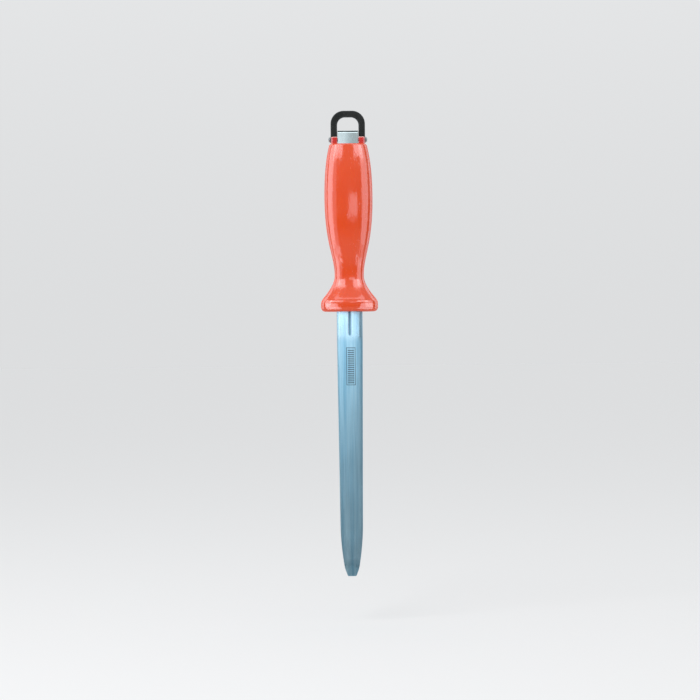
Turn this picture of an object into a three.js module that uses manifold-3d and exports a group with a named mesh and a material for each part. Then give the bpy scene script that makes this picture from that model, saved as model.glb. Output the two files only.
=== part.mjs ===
// A knife sharpening steel: an oval rod forged in one with its tang, a hollow two-shell handle with a
// guard, and a bail that swings on a pin at the handle's end.
//
// Millimetres, +Z up along the steel, -Y at its front. The steel hangs by its bail, and the origin is
// where a hook bears: the middle of the underside of the bail's arch. The pieces below the bail are
// drawn in a group of their own, with z = 0 at the butt, the handle's upper end face.

import * as THREE from 'three';
import { mergeVertices } from 'three/addons/utils/BufferGeometryUtils.js';
import Module from 'manifold-3d';

const wasm = await Module();
wasm.setup();

// ---------------------------------------------------------------- driving dimensions

// Fits
const GAP = 0.3; // between pieces that bear on each other
const PIN_CLEARANCE = 0.12; // radial, round the bail pin

// Rod
const ROD_LENGTH = 203.2; // from the guard to the tip
const ROD_WIDTH = 19.8; // at the guard
const ROD_END_WIDTH = 17.2; // where the point begins
const ROD_THICKNESS = 5.2;
const ROD_POWER = 2.2; // of the section's superellipse
const POINT_LENGTH = 37;
const POINT_SWELL = 0.86; // how full the point's sides are, halfway down
const BEVEL_LENGTH = 8.5;
const BEVEL_WIDTH = 11.8; // of the rod where the bevel begins
const BEVEL_THICKNESS = 4.4;
const BEVEL_TURN = 2; // height above the tip where the bevel's sides turn in
const BEVEL_SWELL = 0.67; // how much of the bevel's width is left there
const BEVEL_THINNING = 0.3; // how much of its thickness is left there
const TIP_WIDTH = 6.4; // of the flat end
const TIP_THICKNESS = 2.6;

// The smooth collar of the rod under the guard, and the groove coined in its two faces
const COLLAR_LENGTH = 18.6;
const GROOVE_WIDTH = 2.2;
const GROOVE_DEPTH = 0.8;

// Tang
const TANG_WIDTH = 8;
const TANG_THICKNESS = 3.6;
const THREAD_RADIUS = 2.4; // of the round end that the block screws on
const THREAD_BELOW_SEAT = 2; // how far the round end reaches below the seat rib

// Handle
const HANDLE_LENGTH = 128.3;
const HANDLE_POWER = 2.5;
const BUTT_WIDTH = 29.2;
const BUTT_DEPTH = 23.8;
const BUTT_EDGE = 1.5; // radius of the butt's edge
const BELLY_WIDTH = 36.9;
const BELLY_DEPTH = 29;
const BELLY_BELOW_BUTT = 41;
const NECK_WIDTH = 22.3;
const NECK_DEPTH = 19.4;
const NECK_ABOVE_GUARD_FACE = 27.3;
const RIM_WIDTH = 39.9; // where the flare turns into the guard's rim
const RIM_DEPTH = 30.4;
const RIM_HEIGHT = 10.4;
const GUARD_WIDTH = 43.8;
const GUARD_DEPTH = 34;
const GUARD_EDGE_HEIGHT = 4.5; // the rounding of the guard's lower edge
const GUARD_EDGE_INSET = 2.9;

// Inside the handle
const WALL = 2.2;
const BUTT_WALL = 3.1;
const SEAT_RIB = 3; // carries the end plate
const THRUST_RIB = 4; // takes the push of the shoulder plate
const GUARD_FLOOR = 5;
const GRIP_RIB = 2;
const GRIP_RIBS = 4;
const PEGGED_RIBS = 2; // how many of the grip ribs, from the butt down, have a pair of pegs
const PEG_SPREAD = 20;
const PEG_RADIUS = 1.3;
const PEG_LENGTH = 3;
const BOSS_RADIUS = 3;

// End plate and shoulder plate
const END_PLATE_THICKNESS = 1.6;
const SHOULDER_PLATE_THICKNESS = 2.2;
const SHOULDER_PLATE_MARGIN = 2.2; // past the rod on each side

// End block
const BLOCK_WIDTH = 15.8;
const BLOCK_DEPTH = 10.4;
const BLOCK_RISE = 10.4; // above the butt
const BLOCK_CHAMFER = 1.6;
const BLOCK_CHAMFER_DEPTH = 2.2;
const BLOCK_ROOF = 3; // metal over the tang's end

// Bail
const BAIL_SIDE_PLAY = 0.3; // between the block and each arm
const BAIL_ARM_WIDTH = 5;
const BAIL_ARCH_THICKNESS = 5;
const BAIL_DEPTH = 5.2;
const BAIL_EDGE = 0.9;
const BAIL_OUTER_CORNER = 10;
const BAIL_INNER_CORNER = 6;
const EYE_ABOVE_PIN = 17.1; // from the pin up to where the hook bears
const PIN_ABOVE_BUTT = 3.6;

// Ears: the lips at the butt that flank each foot of the bail, front and back
const EAR_SLOT = 10; // between the front ear and the back one
const EAR_THICKNESS = 2;
const EAR_ABOVE_PIN = 1.8;

// Pin
const PIN_RADIUS = 1.3;
const PIN_HEAD_RADIUS = 1.9;
const PIN_HEAD_HEIGHT = 0.9;
const WASHER_RADIUS = 2.3;
const WASHER_THICKNESS = 0.5;

// Cutting tools
const OVERCUT = 1; // how far a tool runs past what it cuts
const REACH = 400; // a span longer than any piece

// Facets
const HANDLE_SIDES = 36;
const CAVITY_SIDES = 20;
const CAVITY_DETAIL = 0.5; // of the handle's sections, how many the cavity keeps
const ROD_SIDES = 36;
const ROUND_SIDES = 24;
const CORNER_STEPS = 4;
const HEAD_STEPS = 3;

// ---------------------------------------------------------------- helpers

const box = (sizeX, sizeY, sizeZ, x = 0, y = 0, z = 0) =>
  toSolid(new THREE.BoxGeometry(sizeX, sizeY, sizeZ).translate(x, y, z));

const mix = THREE.MathUtils.lerp;

/** A closed three.js geometry as a solid that can be cut and joined. */
function toSolid(geometry) {
  const bare = geometry.clone();
  bare.deleteAttribute('normal');
  bare.deleteAttribute('uv');
  const merged = mergeVertices(bare, 1e-5);
  return new wasm.Manifold(
    new wasm.Mesh({
      numProp: 3,
      vertProperties: new Float32Array(merged.attributes.position.array),
      triVerts: new Uint32Array(merged.index.array),
    }),
  );
}

/** A solid as a three.js geometry. */
function toGeometry(solid) {
  const mesh = solid.getMesh();
  const geometry = new THREE.BufferGeometry();
  geometry.setAttribute('position', new THREE.BufferAttribute(mesh.vertProperties, 3));
  geometry.setIndex(new THREE.BufferAttribute(mesh.triVerts, 1));
  geometry.computeVertexNormals();
  return geometry;
}

/** A ring of points round a superellipse at height z, anticlockwise seen from above. */
function ring(halfX, halfY, z, power, sides) {
  const points = [];
  for (let i = 0; i < sides; i += 1) {
    const angle = (2 * Math.PI * i) / sides;
    const c = Math.cos(angle);
    const s = Math.sin(angle);
    const x = halfX * Math.sign(c) * Math.abs(c) ** (2 / power);
    const y = halfY * Math.sign(s) * Math.abs(s) ** (2 / power);
    points.push(new THREE.Vector3(x, y, z));
  }
  return points;
}

/** A solid through rings that climb in z, closed by a fan at each end. */
function loft(rings) {
  const sides = rings[0].length;
  const points = rings.flat();
  const index = [];
  for (let i = 0; i + 1 < rings.length; i += 1) {
    for (let j = 0; j < sides; j += 1) {
      const a = i * sides + j;
      const b = i * sides + ((j + 1) % sides);
      index.push(a, b, a + sides, b, b + sides, a + sides);
    }
  }
  const bottom = points.length;
  const top = points.length + 1;
  const last = (rings.length - 1) * sides;
  points.push(new THREE.Vector3(0, 0, rings[0][0].z));
  points.push(new THREE.Vector3(0, 0, rings[rings.length - 1][0].z));
  for (let j = 0; j < sides; j += 1) {
    const next = (j + 1) % sides;
    index.push(bottom, next, j);
    index.push(top, last + j, last + next);
  }
  const geometry = new THREE.BufferGeometry().setFromPoints(points);
  geometry.setIndex(index);
  return toSolid(geometry);
}

/** A cylinder along x, y or z between two places on that axis. */
function roundBar(axis, radius, from, to, x = 0, y = 0, z = 0) {
  const geometry = new THREE.CylinderGeometry(radius, radius, to - from, ROUND_SIDES);
  geometry.translate(0, (from + to) / 2, 0);
  if (axis === 'x') geometry.rotateZ(-Math.PI / 2);
  if (axis === 'z') geometry.rotateX(Math.PI / 2);
  return toSolid(geometry.translate(x, y, z));
}

/** A shape drawn in x and z, extruded along y, with its outer edges rounded if edge is given. */
function extrudeAlongY(shape, depth, edge = 0) {
  const geometry = new THREE.ExtrudeGeometry(shape, {
    depth: depth - 2 * edge,
    bevelEnabled: edge > 0,
    bevelThickness: edge,
    bevelSize: edge,
    bevelOffset: -edge,
    bevelSegments: 2,
    curveSegments: 6,
  });
  geometry.translate(0, 0, edge - depth / 2);
  return toSolid(geometry.rotateX(Math.PI / 2));
}

/** A shape drawn in y and z, extruded along x. */
function extrudeAlongX(shape, width) {
  const geometry = new THREE.ExtrudeGeometry(shape, {
    depth: width,
    bevelEnabled: false,
    curveSegments: 10,
  });
  geometry.translate(0, 0, -width / 2);
  const toYZ = new THREE.Matrix4().makeBasis(
    new THREE.Vector3(0, 1, 0),
    new THREE.Vector3(0, 0, 1),
    new THREE.Vector3(1, 0, 0),
  );
  return toSolid(geometry.applyMatrix4(toYZ));
}

/** Joins several solids into one. */
const join = (solids) => solids.reduce((whole, solid) => whole.add(solid));

/** Cuts several solids from one. */
const cut = (whole, tools) => tools.reduce((left, tool) => left.subtract(tool), whole);

const GLOSSY_RED = { color: 0xe64a22, roughness: 0.25, metalness: 0 };
const GROUND_STEEL = { color: 0xa9b4ba, roughness: 0.35, metalness: 1 };
const BRIGHT_CHROME = { color: 0xd9dde0, roughness: 0.12, metalness: 1 };
const BLACK_PAINT = { color: 0x26282a, roughness: 0.4, metalness: 0.2 };
const PLAIN_STEEL = { color: 0x8e9498, roughness: 0.45, metalness: 1 };

/** A named mesh of a solid. */
function piece(name, solid, finish) {
  const mesh = new THREE.Mesh(toGeometry(solid), new THREE.MeshStandardMaterial(finish));
  mesh.name = name;
  return mesh;
}

// ---------------------------------------------------------------- levels, from the butt down

const blockBottom = -BUTT_WALL;
const endPlateTop = blockBottom - GAP;
const endPlateBottom = endPlateTop - END_PLATE_THICKNESS;
const seatRibTop = endPlateBottom - GAP;
const seatRibBottom = seatRibTop - SEAT_RIB;
const guardFace = -HANDLE_LENGTH;
const rodShoulder = guardFace + GUARD_FLOOR;
const shoulderPlateBottom = rodShoulder + GAP;
const shoulderPlateTop = shoulderPlateBottom + SHOULDER_PLATE_THICKNESS;
const thrustRibBottom = shoulderPlateTop + GAP;
const thrustRibTop = thrustRibBottom + THRUST_RIB;
const gripPitch = (seatRibBottom - thrustRibTop) / (GRIP_RIBS + 1);
const tipLevel = guardFace - ROD_LENGTH;
const threadTop = BLOCK_RISE - BLOCK_ROOF - GAP;

// ---------------------------------------------------------------- handle shells

const keySection = (width, depth, z) => new THREE.Vector3(width / 2, depth / 2, z);

const butt = keySection(BUTT_WIDTH, BUTT_DEPTH, -BUTT_EDGE);
const belly = keySection(BELLY_WIDTH, BELLY_DEPTH, -BELLY_BELOW_BUTT);
const neck = keySection(NECK_WIDTH, NECK_DEPTH, guardFace + NECK_ABOVE_GUARD_FACE);
const rim = keySection(RIM_WIDTH, RIM_DEPTH, guardFace + RIM_HEIGHT);
const guard = keySection(GUARD_WIDTH, GUARD_DEPTH, guardFace + GUARD_EDGE_HEIGHT);

/**
 * A curve of half width, half depth and height from one key section to the next. Each control point is
 * a share of the way in size and a share of the way down.
 */
function between(from, to, [size1, drop1], [size2, drop2]) {
  const control = (size, drop) =>
    new THREE.Vector3(mix(from.x, to.x, size), mix(from.y, to.y, size), mix(from.z, to.z, drop));
  return new THREE.CubicBezierCurve3(from, control(size1, drop1), control(size2, drop2), to);
}

const handleCurves = [
  { curve: between(butt, belly, [0.56, 0.2], [1, 0.52]), steps: 7 },
  { curve: between(belly, neck, [0, 0.6], [1, 0.733]), steps: 9 },
  { curve: between(neck, rim, [0, 0.325], [0.528, 0.71]), steps: 6 },
  { curve: between(rim, guard, [0.72, 0.28], [1, 0.61]), steps: 3 },
];

/** The handle's sections from the butt down, as (half width, half depth, z). */
function handleSections(detail) {
  const sections = [];
  for (let i = 0; i < CORNER_STEPS; i += 1) {
    const turn = (Math.PI / 2) * (i / CORNER_STEPS);
    const inset = BUTT_EDGE * (1 - Math.sin(turn));
    sections.push(new THREE.Vector3(butt.x - inset, butt.y - inset, -BUTT_EDGE * (1 - Math.cos(turn))));
  }
  for (const { curve, steps } of handleCurves) {
    sections.push(...curve.getPoints(Math.ceil(steps * detail)).slice(0, -1));
  }
  for (let i = 0; i <= CORNER_STEPS; i += 1) {
    const turn = (Math.PI / 2) * (i / CORNER_STEPS);
    const inset = GUARD_EDGE_INSET * (1 - Math.cos(turn));
    const z = guardFace + GUARD_EDGE_HEIGHT * (1 - Math.sin(turn));
    sections.push(new THREE.Vector3(guard.x - inset, guard.y - inset, z));
  }
  return sections;
}

/** The handle's outer form, or the same form with its sides moved in. */
function handleForm(inset, sides, detail = 1) {
  const rings = handleSections(detail).map(({ x, y, z }) =>
    ring(x - inset, y - inset, z, HANDLE_POWER, sides),
  );
  return loft(rings.reverse());
}

/** Everything between two levels. */
const slab = (top, bottom) => box(REACH, REACH, top - bottom, 0, 0, (top + bottom) / 2);

/** The same outline from one level up to another. */
const prism = (halfX, halfY, bottom, top, power, sides) =>
  loft([ring(halfX, halfY, bottom, power, sides), ring(halfX, halfY, top, power, sides)]);

const gripRibLevel = (i) => seatRibBottom - gripPitch * (i + 1);

/** The closed spaces inside the handle, between its floor, walls and ribs. */
function chambers() {
  const cavity = handleForm(WALL, CAVITY_SIDES, CAVITY_DETAIL);
  const spans = [
    [blockBottom, seatRibTop],
    [thrustRibBottom, rodShoulder],
  ];
  for (let i = 0; i <= GRIP_RIBS; i += 1) {
    const top = i === 0 ? seatRibBottom : gripRibLevel(i - 1) - GRIP_RIB / 2;
    const bottom = i === GRIP_RIBS ? thrustRibTop : gripRibLevel(i) + GRIP_RIB / 2;
    spans.push([top, bottom]);
  }
  return spans.map(([top, bottom]) => cavity.intersect(slab(top, bottom)));
}

/** Where the pegs and sockets that line up the two shells are, as [x, z]. */
function pegPlaces() {
  const levels = [thrustRibBottom + BOSS_RADIUS];
  for (let i = 0; i < PEGGED_RIBS; i += 1) {
    levels.push(gripRibLevel(i));
  }
  return levels.flatMap((z) => [
    [-PEG_SPREAD / 2, z],
    [PEG_SPREAD / 2, z],
  ]);
}

const bailInner = BLOCK_WIDTH / 2 + BAIL_SIDE_PLAY;
const bailOuter = bailInner + BAIL_ARM_WIDTH;

/** The two ears of one shell; side is -1 for the front and 1 for the back. */
function ears(side) {
  const top = PIN_ABOVE_BUTT + EAR_ABOVE_PIN;
  const bottom = -BUTT_WALL / 2;
  const y = side * (EAR_SLOT / 2 + EAR_THICKNESS / 2);
  const width = bailOuter - bailInner;
  const blank = [-1, 1].map((hand) =>
    box(width, EAR_THICKNESS, top - bottom, (hand * (bailInner + bailOuter)) / 2, y, (top + bottom) / 2),
  );
  const halfX = butt.x - BUTT_EDGE / 2;
  const halfY = butt.y - BUTT_EDGE / 2;
  const outline = prism(halfX, halfY, bottom - OVERCUT, top + OVERCUT, HANDLE_POWER, HANDLE_SIDES);
  return join(blank).intersect(outline);
}

/** The hole through the guard's floor for the rod. */
function rodHole() {
  const halfWidth = ROD_WIDTH / 2 + GAP;
  const halfThickness = ROD_THICKNESS / 2 + GAP;
  const top = rodShoulder + GAP / 2;
  return prism(halfWidth, halfThickness, guardFace - OVERCUT, top, ROD_POWER, ROD_SIDES);
}

/** The whole handle before it is parted: its form, hollowed, with every hole. */
function handleBody() {
  const form = handleForm(0, HANDLE_SIDES);
  const bosses = pegPlaces().map(([x, z]) =>
    roundBar('y', BOSS_RADIUS, -BELLY_DEPTH, BELLY_DEPTH, x, 0, z).intersect(form),
  );
  const tangHole = box(
    TANG_WIDTH + 2 * GAP,
    TANG_THICKNESS + 2 * GAP,
    seatRibBottom - rodShoulder,
    0,
    0,
    (seatRibBottom + rodShoulder) / 2,
  );
  const blockHole = box(BLOCK_WIDTH + 2 * GAP, BLOCK_DEPTH + 2 * GAP, 2 * (BUTT_WALL + OVERCUT));
  const threadHole = roundBar('z', THREAD_RADIUS + GAP, seatRibBottom - OVERCUT, 0);
  const hollow = join([cut(form, chambers()), ...bosses]);
  return cut(hollow, [tangHole, blockHole, threadHole, rodHole()]);
}

/** The cutter of a hole for the pin, this far to each side of the middle, with the pin at z = 0. */
const pinHole = (reach) => roundBar('x', PIN_RADIUS + PIN_CLEARANCE, -reach, reach);

/** One half of a body on the side -1 (front) or 1 (back) of the parting line. */
const half = (body, side) =>
  body.intersect(box(REACH, REACH, 2 * REACH, 0, (side * (REACH + GAP)) / 2));

function makeShells() {
  const body = handleBody();
  const pegs = pegPlaces().map(([x, z]) =>
    roundBar('y', PEG_RADIUS, -GAP - OVERCUT, PEG_LENGTH, x, 0, z),
  );
  const sockets = pegPlaces().map(([x, z]) =>
    roundBar('y', PEG_RADIUS + GAP, -OVERCUT, PEG_LENGTH + GAP, x, 0, z),
  );
  const front = join([half(body, -1), ears(-1), ...pegs]);
  const back = cut(join([half(body, 1), ears(1)]), sockets);
  return [
    piece('handle_front_shell', front, GLOSSY_RED),
    piece('handle_back_shell', back, GLOSSY_RED),
  ];
}

// ---------------------------------------------------------------- rod and tang

/** The rod's sections from its shoulder down to the tip, as [width, thickness, z]. */
function rodSections() {
  const pointStart = tipLevel + POINT_LENGTH;
  const bevelStart = tipLevel + BEVEL_LENGTH;
  const middle = (pointStart + bevelStart) / 2;
  const pointWidth = mix(BEVEL_WIDTH, ROD_END_WIDTH, POINT_SWELL);
  const point = new THREE.QuadraticBezierCurve3(
    new THREE.Vector3(ROD_END_WIDTH, ROD_THICKNESS, pointStart),
    new THREE.Vector3(pointWidth, ROD_THICKNESS, middle),
    new THREE.Vector3(BEVEL_WIDTH, BEVEL_THICKNESS, bevelStart),
  );
  const turnWidth = mix(TIP_WIDTH, BEVEL_WIDTH, BEVEL_SWELL);
  const turnThickness = mix(TIP_THICKNESS, BEVEL_THICKNESS, BEVEL_THINNING);
  const bevel = new THREE.QuadraticBezierCurve3(
    new THREE.Vector3(BEVEL_WIDTH, BEVEL_THICKNESS, bevelStart),
    new THREE.Vector3(turnWidth, turnThickness, tipLevel + BEVEL_TURN),
    new THREE.Vector3(TIP_WIDTH, TIP_THICKNESS, tipLevel),
  );
  return [
    new THREE.Vector3(ROD_WIDTH, ROD_THICKNESS, rodShoulder),
    new THREE.Vector3(ROD_WIDTH, ROD_THICKNESS, guardFace - COLLAR_LENGTH),
    ...point.getPoints(6).slice(0, -1),
    ...bevel.getPoints(5),
  ];
}

/** The cutter of the groove in the rod's front (-1) or back (1) face. */
function groove(side) {
  const top = rodShoulder + OVERCUT;
  const bottom = guardFace - COLLAR_LENGTH + GROOVE_WIDTH / 2;
  const outline = new THREE.Shape();
  outline.moveTo(GROOVE_WIDTH / 2, top);
  outline.lineTo(-GROOVE_WIDTH / 2, top);
  outline.lineTo(-GROOVE_WIDTH / 2, bottom);
  outline.absarc(0, bottom, GROOVE_WIDTH / 2, Math.PI, 2 * Math.PI, false);
  outline.closePath();
  return extrudeAlongY(outline, 2 * GROOVE_DEPTH).translate([0, (side * ROD_THICKNESS) / 2, 0]);
}

function makeRod() {
  const oval = loft(
    rodSections()
      .map(({ x, y, z }) => ring(x / 2, y / 2, z, ROD_POWER, ROD_SIDES))
      .reverse(),
  );
  const threadStart = seatRibBottom - THREAD_BELOW_SEAT;
  const tangLength = threadStart - rodShoulder + OVERCUT;
  const tang = box(TANG_WIDTH, TANG_THICKNESS, tangLength, 0, 0, threadStart - tangLength / 2);
  const thread = roundBar('z', THREAD_RADIUS, threadStart - OVERCUT, threadTop);
  const blank = join([oval, tang, thread]);
  const tools = [groove(-1), groove(1), pinHole(BLOCK_WIDTH).translate([0, 0, PIN_ABOVE_BUTT])];
  return piece('sharpening_rod', cut(blank, tools), GROUND_STEEL);
}

// ---------------------------------------------------------------- plates and block

function makeShoulderPlate() {
  const halfWidth = ROD_WIDTH / 2 + SHOULDER_PLATE_MARGIN;
  const halfDepth = ROD_THICKNESS / 2 + 2 * SHOULDER_PLATE_MARGIN;
  const thickness = SHOULDER_PLATE_THICKNESS;
  const plate = prism(halfWidth, halfDepth, -thickness / 2, thickness / 2, ROD_POWER, ROUND_SIDES);
  const hole = box(TANG_WIDTH + 2 * GAP, TANG_THICKNESS + 2 * GAP, 2 * thickness);
  const middle = (shoulderPlateBottom + shoulderPlateTop) / 2;
  return piece('shoulder_plate', plate.subtract(hole).translate([0, 0, middle]), PLAIN_STEEL);
}

/** The end plate fills its chamber from wall to wall, so it can't turn. */
function makeEndPlate() {
  const form = handleForm(WALL + GAP, CAVITY_SIDES, CAVITY_DETAIL);
  const plate = form.intersect(slab(endPlateTop, endPlateBottom));
  const hole = roundBar('z', THREAD_RADIUS + GAP, endPlateBottom - OVERCUT, endPlateTop + OVERCUT);
  return piece('end_plate', plate.subtract(hole), PLAIN_STEEL);
}

function makeEndBlock() {
  const y = BLOCK_DEPTH / 2;
  const side = new THREE.Shape();
  side.moveTo(-y, blockBottom);
  side.lineTo(y, blockBottom);
  side.lineTo(y, BLOCK_RISE - BLOCK_CHAMFER);
  side.lineTo(y - BLOCK_CHAMFER_DEPTH, BLOCK_RISE);
  side.lineTo(-y + BLOCK_CHAMFER_DEPTH, BLOCK_RISE);
  side.lineTo(-y, BLOCK_RISE - BLOCK_CHAMFER);
  side.closePath();
  const threadHole = roundBar('z', THREAD_RADIUS + GAP, blockBottom - OVERCUT, threadTop + GAP);
  const tools = [pinHole(BLOCK_WIDTH).translate([0, 0, PIN_ABOVE_BUTT]), threadHole];
  return piece('end_block', cut(extrudeAlongX(side, BLOCK_WIDTH), tools), BRIGHT_CHROME);
}

// ---------------------------------------------------------------- pin and washers

const washerInner = bailOuter + GAP / 2;
const washerOuter = washerInner + WASHER_THICKNESS;
const headInner = washerOuter + GAP / 2;

/** One domed head of the pin, on the left (-1) or the right (1). */
function pinHead(hand) {
  const dome = [new THREE.Vector2(0, 0)];
  for (let i = 0; i < HEAD_STEPS; i += 1) {
    const turn = (Math.PI / 2) * (i / HEAD_STEPS);
    dome.push(new THREE.Vector2(PIN_HEAD_RADIUS * Math.cos(turn), PIN_HEAD_HEIGHT * Math.sin(turn)));
  }
  dome.push(new THREE.Vector2(0, PIN_HEAD_HEIGHT));
  const head = new THREE.LatheGeometry(dome, ROUND_SIDES).rotateZ((-hand * Math.PI) / 2);
  return toSolid(head.translate(hand * headInner, 0, 0));
}

function makePin() {
  const reach = headInner + PIN_HEAD_HEIGHT / 2;
  const shank = roundBar('x', PIN_RADIUS, -reach, reach);
  return piece('bail_pin', join([shank, pinHead(-1), pinHead(1)]), PLAIN_STEEL);
}

function makeWasher(name, hand) {
  const edges = [hand * washerInner, hand * washerOuter].sort((a, b) => a - b);
  const disc = roundBar('x', WASHER_RADIUS, edges[0], edges[1]);
  return piece(name, disc.subtract(pinHole(headInner)), PLAIN_STEEL);
}

// ---------------------------------------------------------------- bail, with z = 0 at its pin

function makeBail() {
  const foot = BAIL_DEPTH / 2;
  const innerTop = EYE_ABOVE_PIN;
  const outerTop = EYE_ABOVE_PIN + BAIL_ARCH_THICKNESS;
  const outline = new THREE.Shape();
  outline.moveTo(-bailOuter, -foot);
  outline.lineTo(-bailOuter, outerTop - BAIL_OUTER_CORNER);
  const outerX = bailOuter - BAIL_OUTER_CORNER;
  outline.absarc(-outerX, outerTop - BAIL_OUTER_CORNER, BAIL_OUTER_CORNER, Math.PI, Math.PI / 2, true);
  outline.absarc(outerX, outerTop - BAIL_OUTER_CORNER, BAIL_OUTER_CORNER, Math.PI / 2, 0, true);
  outline.lineTo(bailOuter, -foot);
  outline.lineTo(bailInner, -foot);
  const innerX = bailInner - BAIL_INNER_CORNER;
  outline.absarc(innerX, innerTop - BAIL_INNER_CORNER, BAIL_INNER_CORNER, 0, Math.PI / 2, false);
  outline.absarc(-innerX, innerTop - BAIL_INNER_CORNER, BAIL_INNER_CORNER, Math.PI / 2, Math.PI, false);
  outline.lineTo(-bailInner, -foot);
  outline.closePath();

  const roundFeet = new THREE.Shape();
  roundFeet.moveTo(foot, 0);
  roundFeet.lineTo(foot, outerTop + OVERCUT);
  roundFeet.lineTo(-foot, outerTop + OVERCUT);
  roundFeet.lineTo(-foot, 0);
  roundFeet.absarc(0, 0, foot, Math.PI, 2 * Math.PI, false);
  roundFeet.closePath();

  const blank = extrudeAlongY(outline, BAIL_DEPTH, BAIL_EDGE);
  const rounded = blank.intersect(extrudeAlongX(roundFeet, 2 * (bailOuter + OVERCUT)));
  return piece('bail', rounded.subtract(pinHole(bailOuter + OVERCUT)), BLACK_PAINT);
}

// ---------------------------------------------------------------- assembly

const pinParts = new THREE.Group();
pinParts.position.z = PIN_ABOVE_BUTT;
pinParts.add(makePin(), makeWasher('pin_washer_left', -1), makeWasher('pin_washer_right', 1));

const steel = new THREE.Group();
steel.position.z = -EYE_ABOVE_PIN - PIN_ABOVE_BUTT;
steel.add(makeRod(), makeShoulderPlate(), ...makeShells(), makeEndPlate(), makeEndBlock(), pinParts);

const bail = makeBail();
bail.position.z = -EYE_ABOVE_PIN;

const sharpeningSteel = new THREE.Group();
sharpeningSteel.add(bail, steel);

export default sharpeningSteel;
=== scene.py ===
# A butcher's sharpening steel hanging by its bail: the surfaces that show, made round the CAD frame.
#
# Metres, +Z up along the steel, -Y at its front, with the origin where a hook bears in the bail.
import math

import bmesh
import bpy
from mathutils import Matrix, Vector


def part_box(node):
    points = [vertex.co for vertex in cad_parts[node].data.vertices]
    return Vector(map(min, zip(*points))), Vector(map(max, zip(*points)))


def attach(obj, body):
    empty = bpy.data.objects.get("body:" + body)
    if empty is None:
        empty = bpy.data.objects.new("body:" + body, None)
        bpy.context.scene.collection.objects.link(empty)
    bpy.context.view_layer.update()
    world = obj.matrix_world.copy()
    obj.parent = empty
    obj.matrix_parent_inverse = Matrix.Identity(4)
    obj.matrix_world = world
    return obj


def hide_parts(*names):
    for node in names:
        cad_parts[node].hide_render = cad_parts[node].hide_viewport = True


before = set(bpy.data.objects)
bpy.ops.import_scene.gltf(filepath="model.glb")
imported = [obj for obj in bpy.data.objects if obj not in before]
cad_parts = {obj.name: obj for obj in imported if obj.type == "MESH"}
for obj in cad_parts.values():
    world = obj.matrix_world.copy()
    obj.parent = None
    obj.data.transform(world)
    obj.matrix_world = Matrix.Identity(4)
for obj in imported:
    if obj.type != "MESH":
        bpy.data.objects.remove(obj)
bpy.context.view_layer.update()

MM = 0.001

# ---------------------------------------------------------------- places taken from the frame

front_low, front_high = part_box("handle_front_shell")
back_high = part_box("handle_back_shell")[1]
rod_low, rod_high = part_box("sharpening_rod")
block_low, block_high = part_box("end_block")
bail_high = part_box("bail")[1]
pin_low, pin_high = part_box("bail_pin")
washer_low, washer_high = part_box("pin_washer_right")

GAP = 0.3 * MM  # between pieces that bear on each other
PIN_LEVEL = (pin_low[2] + pin_high[2]) / 2
PIN_ABOVE_BUTT = 3.6 * MM
BUTT = PIN_LEVEL - PIN_ABOVE_BUTT  # the handle's upper end face
EAR_TOP = front_high[2]
GUARD_FACE = front_low[2]
TIP = rod_low[2]
ROD_LENGTH = GUARD_FACE - TIP

# ---------------------------------------------------------------- shapes

# Handle: width, depth and drop below the butt, or rise above the guard's face
BUTT_SIZE = (29.2 * MM, 23.8 * MM)
BUTT_EDGE = 1.5 * MM
BELLY_SIZE = (36.9 * MM, 29 * MM)
BELLY_DROP = 41 * MM
NECK_SIZE = (22.3 * MM, 19.4 * MM)
NECK_RISE = 27.3 * MM
RIM_SIZE = (39.9 * MM, 30.4 * MM)
RIM_RISE = 10.4 * MM
GUARD_SIZE = (front_high[0] - front_low[0], 2 * back_high[1])
GUARD_EDGE_RISE = 4.5 * MM
GUARD_EDGE_INSET = 3.6 * MM
GUARD_EDGE_POWER = 2.5  # the guard's lower rounding, squarer than a quarter ellipse
HANDLE_POWER = 2.5  # of the superellipse that its sections follow
WALL = 2.2 * MM
BUTT_WALL = 3.1 * MM
GUARD_FLOOR = 5 * MM
SEAM_EDGE = 0.3 * MM  # rounding of each shell along the parting line
HOLE_LEAD = 0.4 * MM  # chamfer at the mouths of the block's and the rod's holes
EAR_EDGE = 0.55 * MM
EAR_INNER_FACE = 5 * MM  # from the middle to an ear's inner face
EAR_THICKNESS = 2 * MM

# Rod
ROD_POWER = 2.2
ROD_SIZE = (2 * rod_high[0], 2 * rod_high[1])
ROD_END_WIDTH = 17.2 * MM
COLLAR_LENGTH = 18.6 * MM
POINT_LENGTH = 37 * MM
POINT_SWELL = 0.86
BEVEL_LENGTH = 8.5 * MM
BEVEL_SIZE = (11.8 * MM, 4.4 * MM)
BEVEL_POWER = 3.4  # the bevel is ground flatter than the rod's oval
TIP_SIZE = (6.4 * MM, 2.6 * MM)
TIP_EDGE = 0.35 * MM
GROOVE_WIDTH = 2.2 * MM
GROOVE_DEPTH = 0.8 * MM
GROOVE_SLOPE = 0.35 * MM
RIDGES = 80
RIDGE_DEPTH = 0.07 * MM
RIDGE_RUNOUT = 5 * MM
TANG_SIZE = (8 * MM, 3.6 * MM)
TANG_EDGE = 0.4 * MM
THREAD_RADIUS = 2.4 * MM
THREAD_CHAMFER = 0.5 * MM
THREAD_START = BUTT - 10.3 * MM
THREAD_TOP = BUTT + 7.1 * MM

# Levels along the rod
SHOULDER = GUARD_FACE + GUARD_FLOOR
COLLAR_END = GUARD_FACE - COLLAR_LENGTH
GROOVE_CENTRE = COLLAR_END + GROOVE_WIDTH / 2  # of the groove's round end
POINT_START = TIP + POINT_LENGTH
BEVEL_START = TIP + BEVEL_LENGTH

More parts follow.
